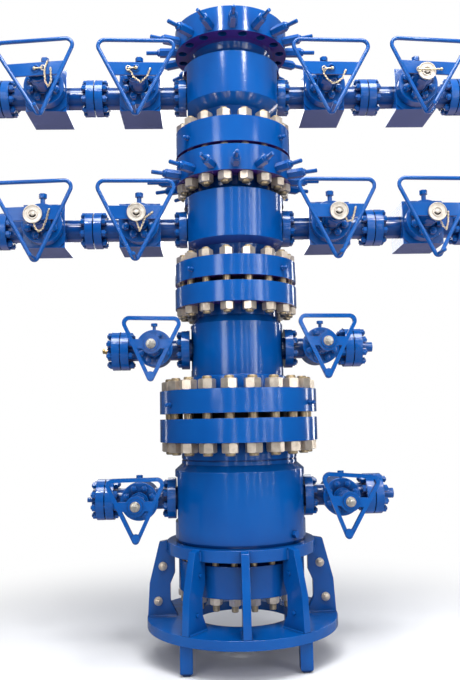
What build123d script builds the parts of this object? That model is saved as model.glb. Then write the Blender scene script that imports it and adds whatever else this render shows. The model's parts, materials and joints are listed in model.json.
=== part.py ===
from build123d import *

import os
from math import cos, radians, sin, tan

# A gas wellhead valve stack: a casing head on a ribbed base, two spools and a tubing head bolted
# on top of it, and eight flanged outlet lines with gate valves and three-cornered handwheels.
# Millimetres, +Z up, the origin on the floor on the well's axis, the handwheels facing -Y.

os.makedirs("parts", exist_ok=True)

# Base on four legs
leg_width = 62
leg_height = 150
leg_chamfer = 16
leg_inset = 52
leg_angles = (40, 140, 220, 320)
rib_angles = (0, 36, 90, 144, 180, 216, 270, 324)
ring_outer = 505
ring_bore = 263
ring_thickness = 48
collar_outer = 396
collar_thickness = 59
collar_top = 589
rib_thickness = 40
rib_top_reach = 439
rib_knee_setback = 13
rib_knee_height = 370
rib_throat = 357
rib_waist = 382
rib_foot_reach = 344
rib_bolt_flats = 45
rib_bolt_head = 28
rib_bolt_places = ((421, 454.5), (447, 275))

# Casing connector under the casing head, with its pull-up studs
connector_radius = 336
connector_bottom = 344
connector_height = 158
connector_bore = 256
connector_bolt_circle = 622
connector_stud_count = 20
connector_nut_flats = 54
connector_nut_height = 32
connector_stud_radius = 17
connector_stud_tip = 280
connector_gap = 33

# Heights of the three flanged joints and of the top face
joint_heights = (1247.5, 1958.0, 2683.5)
joint_gaps = (28, 28, 16)
stack_top = 3447.5

# Flanges: radius, thickness, bolt circle, bolt count, nut across flats, nut height
big_flange = dict(radius=428.6, thick=122, circle=749.3, count=20, flats=79.4, nut=50.8)
mid_flange = dict(radius=336.6, thick=109, circle=590.6, count=16, flats=65.1, nut=41.3)
small_flange = dict(radius=326.1, thick=141, circle=565.2, count=16, flats=69.9, nut=44.5)
top_flange_radius = 320.2
top_flange_thickness = 139.5
top_bolt_circle = 565.2
top_bolt_count = 16
top_bolt_hole = 23.8

# Bodies of the four heads and their bores
casing_head_radius = 350
casing_head_neck = 312.6
casing_head_shoulder = (962, 994)
casing_head_groove = dict(bottom=1013, top=1020, depth=4)
casing_head_bore = 255
casing_spool_radius = 254.4
casing_spool_foot = 268
casing_spool_foot_top = 1455
casing_spool_top = 1742
casing_spool_neck = 225
middle_spool_radius = 281.5
middle_spool_body = (2193.5, 2453)
middle_spool_neck = 228
tubing_head_radius = 278.5
tubing_head_body = (2984, 3214)
tubing_head_neck = 215
tubing_head_fillet = 40
mid_bore = 173
top_bore = 139.7
gasket_width = 30
gasket_margin = 14

# Lock screws round the two upper flanges
lock_screw_count = 16
lock_screw_height = 36
gland_flats = 46
gland_reach = 425
lock_stem_flats = 19
lock_stem_reach = 488

# Outlet lines: height of each row and distance of its first flange face from the axis
row_heights = dict(top=3068, upper=2295, middle=1614, lower=810)
row_faces = dict(top=256, upper=262, middle=259, lower=343)
pad_reliefs = dict(top=2, upper=2, middle=8, lower=8)
pad_radius = 62
pad_flat_width = 300
pad_flat_height = 236

# Plugs in the flange rims, in pairs at an angle to either side of the front, and in the head
port_plug_flats = 26
port_plug_reach = 14
port_plug_angles = (57, 45, 50)
port_plug_heights = (1308, 2020, 2749)
head_plug_flats = 36
head_plug_reach = 22
head_plug_angle = 48.5
head_plug_height = 638

# Gate valves: the block-bodied ones of the two upper rows and the round ones below, each with a
# grease fitting on top of its bonnet
block_valve = dict(
    face_to_face=521, flange=205, thick=46, neck=62, bonnet=110, bonnet_front=178, cap=46, cap_front=330,
    fitting=dict(neck=13, rise=35, flats=38, head=24),
)
round_valve = dict(
    face_to_face=379, flange=216, thick=46, neck=57, bonnet=99, bonnet_front=145, cap=42, cap_front=330,
    fitting=dict(neck=9, rise=20, flats=30, head=16),
)
block_width = 226
block_front = 115
block_back = 145
block_height = 242
block_face_radius = 142
block_face_step = 5
round_body_radius = 92
round_body_back = 88
round_body_front = 98
raised_face = 2.5
raised_face_radius = 64

# Plug in the flange at the end of each line, and the hub and small plug at two of the left ends
plug_radius = 27
plug_length = 70
end_hub_radius = 55
end_hub_length = 26
small_plug_radius = 13
small_plug_length = 30

# Handwheels: how far the rim reaches up and down from the hub, half the angle at its lower tip,
# the outer radii of its corners and tip, and how far each wheel stands turned in the photo
hub_distance = 363
running_gap = 0.3
tube_radius = 10.5
wheels = dict(
    top=dict(rise=168, drop=254, half_apex=27.8, corner=44.5, tip=26.5),
    upper=dict(rise=178, drop=254, half_apex=26.7, corner=44.5, tip=26.5),
    middle=dict(rise=140, drop=189, half_apex=25.6, corner=36, tip=18),
    lower=dict(rise=138, drop=182, half_apex=25.5, corner=36, tip=18),
)
rest_turns = dict(
    top_left_outer=4.2,
    top_left_inner=-0.8,
    top_right_inner=-1.3,
    top_right_outer=-3.2,
    upper_left_outer=1.9,
    upper_left_inner=-0.5,
    upper_right_inner=-0.9,
    upper_right_outer=-1.1,
    middle_left_inner=-1.5,
    middle_right_inner=-0.9,
    lower_left_inner=0.5,
    lower_right_inner=-4.5,
)
hub_plate_height = 71
hub_plate_thickness = 10
hub_sleeve_radius = 26
hub_boss_radius = 20
hub_boss_length = 12
grip_radius = 10
grip_length = 108
flat_bar_width = 19
flat_bar_depth = 22
flat_hub_radius = 50
flat_boss_radius = 36
flat_boss_proud = 8
flat_web_height = 46
tip_boss_radius = 21
tip_boss_inset = 29
tip_boss_proud = 5


def save(part, name):
    part.label = name
    export_step(part, f"parts/{name}.step")


def revolved(profile):
    """Turns a closed outline of (radius, height) points about the well's axis."""
    with BuildSketch(Plane.XZ) as outline:
        with BuildLine():
            Polyline(*profile, close=True)
        make_face()
    revolve(outline.sketch, axis=Axis.Z)


def facing_plane(x, z, reach=0, turn=0):
    """A plane square to a valve's spindle, reach in front of the well's axis, turned in itself."""
    across = (cos(radians(turn)), 0, sin(radians(turn)))
    return Plane(origin=(x, -reach, z), x_dir=across, z_dir=(0, -1, 0))


def flange_seats(joint, flange):
    """Lower flange's underside and top, upper flange's underside and top, at one joint."""
    half = joint_gaps[joint] / 2
    middle = joint_heights[joint]
    return (
        middle - half - flange["thick"],
        middle - half,
        middle + half,
        middle + half + flange["thick"],
    )


def outlet_pads(row):
    """Mills a flat for each side outlet into the head and leaves the round pad that seats the valve."""
    height = row_heights[row]
    relief = pad_reliefs[row]
    flat = row_faces[row] - relief
    for side in (-1, 1):
        with Locations((side * (flat + pad_flat_width / 2), 0, height)):
            Box(pad_flat_width, pad_flat_width, pad_flat_height, mode=Mode.SUBTRACT)
        with BuildSketch(Plane(origin=(side * (flat - 20), 0, height), z_dir=(side, 0, 0))) as outline:
            Circle(pad_radius)
        extrude(outline.sketch, amount=relief + 20)


ring_bottom = leg_height
ring_top = ring_bottom + ring_thickness
collar_bottom = collar_top - collar_thickness
connector_top = connector_bottom + connector_height
seat_1 = flange_seats(0, big_flange)
seat_2 = flange_seats(1, mid_flange)
seat_3 = flange_seats(2, small_flange)
top_flange_bottom = stack_top - top_flange_thickness

# Base ring with legs, ribs and collar

with BuildPart() as base_ring:
    with BuildSketch(Plane.XY.offset(ring_bottom)):
        Circle(ring_outer)
        Circle(ring_bore, mode=Mode.SUBTRACT)
    extrude(amount=ring_thickness)
save(base_ring.part, "base_ring")

with BuildPart() as base_legs:
    leg_circle = ring_outer - leg_inset
    for angle in leg_angles:
        place = Plane(
            origin=(leg_circle * sin(radians(angle)), -leg_circle * cos(radians(angle)), 0)
        )
        with BuildSketch(place):
            Rectangle(leg_width, leg_width)
        extrude(amount=leg_height)
    chamfer(base_legs.faces().filter_by_position(Axis.Z, -1, 1).edges(), leg_chamfer)
save(base_legs.part, "base_legs")

with BuildPart() as base_collar:
    with BuildSketch(Plane.XY.offset(collar_bottom)):
        Circle(collar_outer)
        Circle(connector_radius, mode=Mode.SUBTRACT)
    extrude(amount=collar_thickness)
save(base_collar.part, "base_collar")

with BuildPart() as base_ribs:
    for angle in rib_angles:
        outward = (sin(radians(angle)), -cos(radians(angle)), 0)
        upright = Plane(origin=(0, 0, 0), x_dir=outward, z_dir=(outward[1], -outward[0], 0))
        with BuildSketch(upright):
            with BuildLine():
                Polyline(
                    (collar_outer, collar_top),
                    (rib_top_reach, collar_top - 8),
                    (ring_outer - rib_knee_setback, rib_knee_height),
                    (ring_outer - 3, ring_top),
                    (rib_foot_reach, ring_top),
                    (rib_waist, ring_top + 76),
                    (rib_waist, 362),
                    (rib_throat, 419),
                    (rib_throat, collar_bottom),
                    (collar_outer, collar_bottom),
                    close=True,
                )
            make_face()
        extrude(amount=rib_thickness / 2, both=True)
save(base_ribs.part, "base_ribs")

with BuildPart() as rib_bolts:
    for side in (-1, 1):
        for reach, height in rib_bolt_places:
            for face in (-1, 1):
                seat = Plane(origin=(side * reach, face * rib_thickness / 2, height), z_dir=(0, face, 0))
                with BuildSketch(seat):
                    RegularPolygon(rib_bolt_flats / 2, 6, major_radius=False)
                extrude(amount=rib_bolt_head)
save(rib_bolts.part, "rib_bolts")

# Casing connector

with BuildPart() as casing_connector:
    with BuildSketch(Plane.XY.offset(connector_bottom)):
        Circle(connector_radius)
        Circle(connector_bore, mode=Mode.SUBTRACT)
    extrude(amount=connector_height)
save(casing_connector.part, "casing_connector")

with BuildPart() as connector_studs:
    nut_bottom = connector_bottom - connector_nut_height
    for low, high, radius, sides in (
        (nut_bottom, connector_bottom, connector_nut_flats / 3**0.5, 6),
        (connector_stud_tip, nut_bottom, connector_stud_radius, 8),
        (connector_top, connector_top + connector_gap, connector_stud_radius, 8),
    ):
        with BuildSketch(Plane.XY.offset(low)):
            with PolarLocations(
                connector_bolt_circle / 2, connector_stud_count, start_angle=180 / connector_stud_count
            ):
                RegularPolygon(radius, sides)
        extrude(amount=high - low)
save(connector_studs.part, "connector_studs")

# Heads and spools

head_bottom = connector_top + connector_gap
with BuildPart() as casing_head:
    revolved(
        [
            (casing_head_bore, head_bottom),
            (connector_radius - 2, head_bottom),
            (connector_radius - 2, collar_top),
            (casing_head_radius - 7, collar_top),
            (casing_head_radius, collar_top + 15),
            (casing_head_radius, casing_head_shoulder[0]),
            (casing_head_neck, casing_head_shoulder[1]),
            (casing_head_neck, casing_head_groove["bottom"]),
            (casing_head_neck - casing_head_groove["depth"], casing_head_groove["bottom"]),
            (casing_head_neck - casing_head_groove["depth"], casing_head_groove["top"]),
            (casing_head_neck, casing_head_groove["top"]),
            (casing_head_neck, seat_1[0]),
            (big_flange["radius"], seat_1[0]),
            (big_flange["radius"], seat_1[1]),
            (casing_head_bore, seat_1[1]),
        ]
    )
    outlet_pads("lower")
save(casing_head.part, "casing_head")

with BuildPart() as casing_spool:
    revolved(
        [
            (mid_bore, seat_1[2]),
            (big_flange["radius"], seat_1[2]),
            (big_flange["radius"], seat_1[3]),
            (casing_spool_foot, seat_1[3]),
            (casing_spool_foot, casing_spool_foot_top),
            (casing_spool_radius, casing_spool_foot_top + 6),
            (casing_spool_radius, casing_spool_top),
            (casing_spool_neck, casing_spool_top + 40),
            (casing_spool_neck, seat_2[0]),
            (mid_flange["radius"], seat_2[0]),
            (mid_flange["radius"], seat_2[1]),
            (mid_bore, seat_2[1]),
        ]
    )
    outlet_pads("middle")
save(casing_spool.part, "casing_spool")

with BuildPart() as middle_spool:
    revolved(
        [
            (top_bore, seat_2[2]),
            (mid_flange["radius"], seat_2[2]),
            (mid_flange["radius"], seat_2[3]),
            (middle_spool_neck, seat_2[3]),
            (middle_spool_neck, middle_spool_body[0] - 30),
            (middle_spool_radius, middle_spool_body[0]),
            (middle_spool_radius, middle_spool_body[1]),
            (middle_spool_neck, middle_spool_body[1] + 30),
            (middle_spool_neck, seat_3[0]),
            (small_flange["radius"], seat_3[0]),
            (small_flange["radius"], seat_3[1]),
            (top_bore, seat_3[1]),
        ]
    )
    outlet_pads("upper")
save(middle_spool.part, "middle_spool")

with BuildPart() as tubing_head:
    revolved(
        [
            (top_bore, seat_3[2]),
            (small_flange["radius"], seat_3[2]),
            (small_flange["radius"], seat_3[3]),
            (tubing_head_neck, seat_3[3]),
            (tubing_head_neck, tubing_head_body[0] - 50),
            (tubing_head_radius, tubing_head_body[0]),
            (tubing_head_radius, tubing_head_body[1]),
            (tubing_head_neck, tubing_head_body[1] + 40),
            (tubing_head_neck, top_flange_bottom - tubing_head_fillet),
            (tubing_head_neck + tubing_head_fillet * 0.293, top_flange_bottom - tubing_head_fillet * 0.293),
            (tubing_head_neck + tubing_head_fillet, top_flange_bottom),
            (top_flange_radius, top_flange_bottom),
            (top_flange_radius, stack_top),
            (top_bore, stack_top),
        ]
    )
    outlet_pads("top")
    with Locations((0, 0, stack_top)):
        with PolarLocations(top_bolt_circle / 2, top_bolt_count, start_angle=180 / top_bolt_count):
            Hole(top_bolt_hole, depth=top_flange_thickness)
save(tubing_head.part, "tubing_head")

# Ring gaskets in the three gaps

with BuildPart() as ring_gaskets:
    for seat, bore in ((seat_1, casing_head_bore), (seat_2, mid_bore), (seat_3, top_bore)):
        with BuildSketch(Plane.XY.offset(seat[1])):
            Circle(bore + gasket_margin + gasket_width)
            Circle(bore + gasket_margin, mode=Mode.SUBTRACT)
        extrude(amount=seat[2] - seat[1])
save(ring_gaskets.part, "ring_gaskets")

# Flange nuts above and below each joint, with the studs that show in the gap


def joint_nuts(seat, flange):
    half_pitch = 180 / flange["count"]
    for height in (seat[0] - flange["nut"], seat[3]):
        with BuildSketch(Plane.XY.offset(height)) as outline:
            with PolarLocations(flange["circle"] / 2, flange["count"], start_angle=half_pitch):
                RegularPolygon(flange["flats"] / 2, 6, major_radius=False)
        extrude(outline.sketch, amount=flange["nut"])
    with BuildSketch(Plane.XY.offset(seat[1])) as outline:
        with PolarLocations(flange["circle"] / 2, flange["count"], start_angle=half_pitch):
            RegularPolygon(flange["flats"] / 3.1, 8)
    extrude(outline.sketch, amount=seat[2] - seat[1])


for name, seat, flange in (
    ("lower_joint_nuts", seat_1, big_flange),
    ("middle_joint_nuts", seat_2, mid_flange),
    ("upper_joint_nuts", seat_3, small_flange),
):
    with BuildPart() as nuts:
        joint_nuts(seat, flange)
    save(nuts.part, name)

# Lock screws, each a gland nut with its stem, all round an upper flange


def rim_hexagon(radius, angle, height, flats, start, end):
    """A six-sided bar that points away from the well's axis, angle counted from the front."""
    outward = (sin(radians(angle)), -cos(radians(angle)), 0)
    root = Plane(origin=(radius * outward[0], radius * outward[1], height), z_dir=outward)
    with BuildSketch(root.offset(start)) as outline:
        RegularPolygon(flats / 2, 6, major_radius=False)
    extrude(outline.sketch, amount=end - start)


def lock_screws(radius, height):
    gland_end = gland_reach - radius
    stem_end = lock_stem_reach - radius
    for index in range(lock_screw_count):
        angle = index * 360 / lock_screw_count
        rim_hexagon(radius, angle, height, gland_flats, -2, gland_end)
        rim_hexagon(radius, angle, height, lock_stem_flats, gland_end, stem_end)


for name, rim, height, owner in (
    ("middle_lock_screws", small_flange["radius"], seat_3[0] + lock_screw_height, middle_spool),
    ("top_lock_screws", top_flange_radius, top_flange_bottom + lock_screw_height, tubing_head),
):
    with BuildPart() as screws:
        lock_screws(rim, height)
        add(owner.part, mode=Mode.SUBTRACT)
    save(screws.part, name)

# Plugs of the test ports in the upper flange of each joint, and one in the casing head

with BuildPart() as port_plugs:
    for flange, angle, height in zip(
        (big_flange, mid_flange, small_flange), port_plug_angles, port_plug_heights
    ):
        for side in (-1, 1):
            rim_hexagon(flange["radius"], side * angle, height, port_plug_flats, -2, port_plug_reach)
    rim_hexagon(
        casing_head_radius, head_plug_angle, head_plug_height, head_plug_flats, -2, head_plug_reach
    )
    for owner in (casing_head, casing_spool, middle_spool, tubing_head):
        add(owner.part, mode=Mode.SUBTRACT)
save(port_plugs.part, "port_plugs")

# Gate valves


def flanged_run(x, z, size):
    """The through passage of a valve: a neck between two flanges with raised faces."""
    half = size["face_to_face"] / 2
    rim = size["flange"] / 2
    with BuildSketch(facing_plane(x, z)) as outline:
        with BuildLine():
            Polyline(
                (-half, 0),
                (-half, raised_face_radius),
                (-half + raised_face, raised_face_radius),
                (-half + raised_face, rim),
                (-half + size["thick"], rim),
                (-half + size["thick"], size["neck"]),
                (half - size["thick"], size["neck"]),
                (half - size["thick"], rim),
                (half - raised_face, rim),
                (half - raised_face, raised_face_radius),
                (half, raised_face_radius),
                (half, 0),
                close=True,
            )
        make_face()
    revolve(outline.sketch, axis=Axis((x, 0, z), (1, 0, 0)))


def block_body(x, z):
    """A square body whose front is turned to a round face, so its corners stand a little back."""
    flanged_run(x, z, block_valve)
    shoulder = block_front - block_face_step
    with Locations((x, (block_back - shoulder) / 2, z)):
        Box(block_width, shoulder + block_back, block_height)
    with BuildSketch(facing_plane(x, z, shoulder)) as outline:
        Rectangle(block_width, block_height)
        Circle(block_face_radius, mode=Mode.INTERSECT)
    extrude(outline.sketch, amount=block_face_step)


def round_body(x, z):
    flanged_run(x, z, round_valve)
    with BuildSketch(facing_plane(x, z, -round_body_back)) as outline:
        Circle(round_body_radius)
    extrude(outline.sketch, amount=round_body_back + round_body_front)


def bonnet(x, z, size, seat):
    """A round cover on the body's front and the bearing cap that carries the spindle."""
    with BuildSketch(facing_plane(x, z, seat)) as outline:
        Circle(size["bonnet"])
    extrude(outline.sketch, amount=size["bonnet_front"] - seat)
    with BuildSketch(facing_plane(x, z, size["bonnet_front"])) as outline:
        Circle(size["cap"])
    extrude(outline.sketch, amount=size["cap_front"] - size["bonnet_front"])


def valve_centre(row, position, size):
    return row_faces[row] + size["face_to_face"] * (position + 0.5)


rows = (
    ("top", 2, block_valve, block_body, block_front),
    ("upper", 2, block_valve, block_body, block_front),
    ("middle", 1, round_valve, round_body, round_body_front),
    ("lower", 1, round_valve, round_body, round_body_front),
)
position_names = ("inner", "outer")
bonnet_parts = []

for row, valve_count, size, make_body, seat in rows:
    for position in range(valve_count):
        with BuildPart() as valves:
            for side in (-1, 1):
                make_body(side * valve_centre(row, position, size), row_heights[row])
        save(valves.part, f"{row}_row_{position_names[position]}_valves")
    with BuildPart() as bonnets:
        for position in range(valve_count):
            for side in (-1, 1):
                bonnet(side * valve_centre(row, position, size), row_heights[row], size, seat)
    save(bonnets.part, f"{row}_row_bonnets")
    bonnet_parts.append(bonnets.part)

with BuildPart() as valve_grease_fittings:
    for row, valve_count, size, make_body, seat in rows:
        fitting = size["fitting"]
        root = row_heights[row] + size["bonnet"] - 2
        head = root + fitting["rise"] + 2
        reach = (seat + size["bonnet_front"]) / 2
        for position in range(valve_count):
            spindle = valve_centre(row, position, size)
            with BuildSketch(Plane.XY.offset(root)):
                with Locations((-spindle, -reach), (spindle, -reach)):
                    Circle(fitting["neck"])
            extrude(amount=head - root)
            with BuildSketch(Plane.XY.offset(head)):
                with Locations((-spindle, -reach), (spindle, -reach)):
                    RegularPolygon(fitting["flats"] / 2, 6, major_radius=False)
            extrude(amount=fitting["head"])
    for part in bonnet_parts:
        add(part, mode=Mode.SUBTRACT)
save(valve_grease_fittings.part, "valve_grease_fittings")



def has_end_hub(side, size):
    return side < 0 and size is round_valve


with BuildPart() as end_flanges:
    for row, valve_count, size, make_body, seat in rows:
        face = row_faces[row] + size["face_to_face"] * valve_count
        for side in (-1, 1):
            end = Plane(origin=(side * face, 0, row_heights[row]), z_dir=(side, 0, 0))
            with BuildSketch(end):
                Circle(raised_face_radius)
            extrude(amount=raised_face)
            with BuildSketch(end.offset(raised_face)):
                Circle(size["flange"] / 2)
            extrude(amount=size["thick"] - raised_face)
            if has_end_hub(side, size):
                with BuildSketch(end.offset(size["thick"])):
                    Circle(end_hub_radius)
                extrude(amount=end_hub_length)
save(end_flanges.part, "end_flanges")

with BuildPart() as end_plugs:
    for row, valve_count, size, make_body, seat in rows:
        face = row_faces[row] + size["face_to_face"] * valve_count + size["thick"]
        for side in (-1, 1):
            root, radius, length = face, plug_radius, plug_length
            if has_end_hub(side, size):
                root, radius, length = face + end_hub_length, small_plug_radius, small_plug_length
            with BuildSketch(Plane(origin=(side * root, 0, row_heights[row]), z_dir=(side, 0, 0))):
                Circle(radius)
            extrude(amount=length)
save(end_plugs.part, "end_plugs")

# Handwheels


def wheel_corners(wheel, inset):
    """Sharp corners of the rim's triangle with its three sides moved in by inset."""
    lean = radians(wheel["half_apex"])
    apex = wheel["drop"] + wheel["tip"] * (1 / sin(lean) - 1) - inset / sin(lean)
    top = wheel["rise"] - inset
    side = tan(lean) * (top + apex)
    return (-side, top), (side, top), (0, -apex)


def tube_handwheel(plane, wheel):
    """A bent tube with a hub plate across its arms, a hub sleeve behind and a grip at the tip."""
    corners = wheel_corners(wheel, tube_radius)
    corner = wheel["corner"] - tube_radius
    with BuildLine(plane) as rim:
        FilletPolyline(*corners, radius=[corner, corner, wheel["tip"] - tube_radius], close=True)
    start = rim.line @ 0
    along = rim.line % 0
    with BuildSketch(Plane(origin=start, z_dir=along)) as outline:
        RegularPolygon(tube_radius, 8)
    sweep(outline.sketch, path=rim.line, transition=Transition.RIGHT)
    half = hub_plate_height / 2
    slope = tan(radians(wheel["half_apex"]))
    middle = -corners[2][1] * slope
    with BuildSketch(plane.offset(-hub_plate_thickness / 2)) as outline:
        with BuildLine():
            Polyline(
                (-(middle + half * slope), half),
                (middle + half * slope, half),
                (middle - half * slope, -half),
                (-(middle - half * slope), -half),
                close=True,
            )
        make_face()
    extrude(outline.sketch, amount=hub_plate_thickness)
    sleeve = hub_distance - block_valve["cap_front"] - running_gap
    with BuildSketch(plane.offset(-sleeve)) as outline:
        Circle(hub_sleeve_radius)
    extrude(outline.sketch, amount=sleeve)
    with BuildSketch(plane) as outline:
        Circle(hub_boss_radius)
    extrude(outline.sketch, amount=hub_boss_length)
    with BuildSketch(plane) as outline:
        with Locations((0, tube_radius + 6 - wheel["drop"])):
            Circle(grip_radius)
    extrude(outline.sketch, amount=grip_length)


def flat_handwheel(plane, wheel):
    """A cast three-cornered rim with a web, a hub and a round boss at its tip."""
    with BuildSketch(plane.offset(-flat_bar_depth / 2)) as outline:
        with BuildLine():
            FilletPolyline(
                *wheel_corners(wheel, 0),
                radius=[wheel["corner"], wheel["corner"], wheel["tip"]],
                close=True,
            )
        make_face()
        with BuildLine():
            inner_corners = wheel_corners(wheel, flat_bar_width)
            FilletPolyline(*inner_corners, radius=wheel["corner"] - flat_bar_width, close=True)
        make_face(mode=Mode.SUBTRACT)
        half = flat_web_height / 2
        slope = tan(radians(wheel["half_apex"]))
        middle = -inner_corners[2][1] * slope + flat_bar_width / 2
        with BuildLine():
            Polyline(
                (-(middle + half * slope), half),
                (middle + half * slope, half),
                (middle - half * slope, -half),
                (-(middle - half * slope), -half),
                close=True,
            )
        make_face()
        Circle(flat_hub_radius)
    extrude(outline.sketch, amount=flat_bar_depth)
    with BuildSketch(plane) as outline:
        Circle(flat_boss_radius)
    extrude(outline.sketch, amount=flat_bar_depth / 2 + flat_boss_proud)
    with BuildSketch(plane) as outline:
        with Locations((0, tip_boss_inset - wheel["drop"])):
            Circle(tip_boss_radius)
    extrude(outline.sketch, amount=flat_bar_depth / 2 + tip_boss_proud)
    sleeve = hub_distance - round_valve["cap_front"] - running_gap
    with BuildSketch(plane.offset(-sleeve)) as outline:
        Circle(hub_sleeve_radius)
    extrude(outline.sketch, amount=sleeve)


for row, valve_count, size, make_body, seat in rows:
    make_wheel = tube_handwheel if size is block_valve else flat_handwheel
    for position in range(valve_count):
        for side_name, side in (("left", -1), ("right", 1)):
            spindle = side * valve_centre(row, position, size)
            wheel_name = f"{row}_{side_name}_{position_names[position]}"
            turn = rest_turns[wheel_name]
            with BuildPart() as handwheel:
                make_wheel(facing_plane(spindle, row_heights[row], hub_distance, turn), wheels[row])
            save(handwheel.part, f"{wheel_name}_handwheel")
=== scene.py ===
import json
from math import acos, cos, pi, radians, sin, tan

import bmesh
import bpy
from mathutils import Matrix, Vector

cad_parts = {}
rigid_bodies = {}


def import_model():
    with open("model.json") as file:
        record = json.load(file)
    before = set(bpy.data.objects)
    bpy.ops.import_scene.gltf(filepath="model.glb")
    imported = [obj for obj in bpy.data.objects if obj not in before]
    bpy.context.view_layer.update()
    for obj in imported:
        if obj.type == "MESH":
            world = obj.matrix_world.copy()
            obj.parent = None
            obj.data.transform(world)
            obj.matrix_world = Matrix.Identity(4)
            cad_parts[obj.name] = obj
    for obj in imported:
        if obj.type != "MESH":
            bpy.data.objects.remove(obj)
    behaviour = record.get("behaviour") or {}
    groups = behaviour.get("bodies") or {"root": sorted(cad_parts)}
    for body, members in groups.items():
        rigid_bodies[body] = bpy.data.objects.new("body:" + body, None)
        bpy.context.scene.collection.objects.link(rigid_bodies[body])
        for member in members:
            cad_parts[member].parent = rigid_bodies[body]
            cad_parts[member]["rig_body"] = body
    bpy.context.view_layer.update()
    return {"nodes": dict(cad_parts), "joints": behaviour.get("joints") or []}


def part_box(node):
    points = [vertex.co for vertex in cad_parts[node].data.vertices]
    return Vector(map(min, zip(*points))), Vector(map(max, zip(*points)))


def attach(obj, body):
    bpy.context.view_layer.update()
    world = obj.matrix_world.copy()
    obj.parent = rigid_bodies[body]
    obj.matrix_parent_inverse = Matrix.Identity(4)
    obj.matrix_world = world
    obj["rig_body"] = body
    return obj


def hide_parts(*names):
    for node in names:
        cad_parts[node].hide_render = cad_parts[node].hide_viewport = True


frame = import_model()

# A gas wellhead valve stack in blue enamel with zinc-plated studs and nuts. The forms come from the
# frame; this script rounds their edges, gives them their finish, and adds the bolting, fittings,
# welds, handwheel tubes, pins, washers and chains. The scene is in metres with +Z up, and the
# handwheels face -Y. Sizes in the tables are millimetres and degrees where nothing else is said.

MM = 0.001
STACK = "stack"

# Nodes whose enamel takes the dark purple painted shade on its down-facing faces
PRESSURE_PARTS = ("tubing_head", "middle_spool", "casing_spool", "casing_head", "casing_connector")

# Nuts and studs: share of the flats that a nut's end face spans, its chamfer, share of a nut's
# height by which its stud stands proud, and share of a stud's radius eased at its ends
NUT_FACE = 0.97
NUT_CHAMFER = 30
STUD_PROUD = 0.3
STUD_EASE = 0.18

# Flange bolting: bolt circle, count, nut across flats, nut height, stud radius
JOINTS = dict(
    lower=dict(circle=749.3, count=20, flats=79.4, nut=50.8, stud=25.4),
    middle=dict(circle=590.6, count=16, flats=65.1, nut=41.3, stud=20.6),
    upper=dict(circle=565.2, count=16, flats=69.9, nut=44.5, stud=22.2),
)
CONNECTOR = dict(circle=622, count=20, flats=54, nut=32, stud=17)

# Gate valves: half the length between flange faces, flange thickness, outlet and bonnet bolting,
# the bonnet's front and the bearing cap's radius and front
BLOCK_VALVE = dict(
    half=260.5,
    thick=46,
    outlet=dict(circle=161, count=8, flats=34, nut=21, stud=10.5),
    cover=dict(circle=150, count=8, flats=36, nut=24, stud=11),
    cover_front=178,
    cap=46,
    cap_front=330,
)
ROUND_VALVE = dict(
    half=189.5,
    thick=46,
    outlet=dict(circle=168, count=8, flats=34, nut=21, stud=10.5),
    cover=dict(circle=146, count=8, flats=30, nut=18, stud=9.5),
    cover_front=145,
    cap=42,
    cap_front=330,
)
ROW_VALVES = dict(top=BLOCK_VALVE, upper=BLOCK_VALVE, middle=ROUND_VALVE, lower=ROUND_VALVE)
LINE_ENDS = dict(top="outer", upper="outer", middle="inner", lower="inner")

# Gland flange at a bearing cap's root, as distances beyond the cap's radius and out of the bonnet,
# and the bearing nut: its sides, how much wider than the cap, and its ends behind the cap's front
GLAND_COLLAR = ((-1, 0), (7, 0), (7, 14), (4, 17), (-1, 17))
BEARING_NUT_SIDES = 8
BEARING_NUT_WIDER = 9
BEARING_NUT_BACK = 62
BEARING_NUT_FRONT = 14

# Lock screws: count, flats of the gland nut and the stem, and as distances from the well's axis the
# gland nut's foot and shoulder, its neck as (radius, distance), and the stem's foot
LOCK_COUNT = 16
GLAND_FLATS = 46
GLAND_FOOT = 318
GLAND_SHOULDER = 411
GLAND_NECK = ((20, 410), (20, 419), (15, 425), (0, 425))
LOCK_STEM_FLATS = 19
LOCK_STEM_FOOT = 417

# Handwheels of bent tube: reach up and down from the hub, half the angle at the tip, outer radii
# of the corners and the tip, and how far each stands turned
TUBE_RADIUS = 10.5
TUBE_WHEELS = dict(
    top=dict(rise=168, drop=254, half_apex=27.8, corner=44.5, tip=26.5),
    upper=dict(rise=178, drop=254, half_apex=26.7, corner=44.5, tip=26.5),
)
REST_TURNS = dict(
    top_left_outer=4.2,
    top_left_inner=-0.8,
    top_right_inner=-1.3,
    top_right_outer=-3.2,
    upper_left_outer=1.9,
    upper_left_inner=-0.5,
    upper_right_inner=-0.9,
    upper_right_outer=-1.1,
)
HUB_PLATE_HEIGHT = 71
HUB_PLATE_HALF = 5
HUB_PLATE_EDGE = 1.5
HUB_SLEEVE_RADIUS = 26
HUB_SLEEVE_EASE = 3
HUB_BOSS = ((23, 5), (20, 8), (20, 10), (18, 12), (13, 12), (12, 9), (0, 9))

# The grip and how far it stands above the middle of the tube at the tip, and the gap between the
# hub sleeve and the bearing cap
GRIP = ((0, 0), (10, 0), (10, 104), (6, 108), (0, 108))
GRIP_ABOVE = 6
RUNNING_GAP = 0.3

# Cast wheels, from the wheel's middle plane: front of the hub boss, the washer on it, and the nut
# and the screw's end
CAST_BOSS_FRONT = 19
CAST_WASHER = ((0, 0), (24, 0), (25, 1), (25, 3), (24, 4), (0, 4))
CAST_NUT = dict(flats=34, low=23, high=39, steps=5)
CAST_SCREW_END = dict(radius=10, low=35, high=45, count=18)

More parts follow.
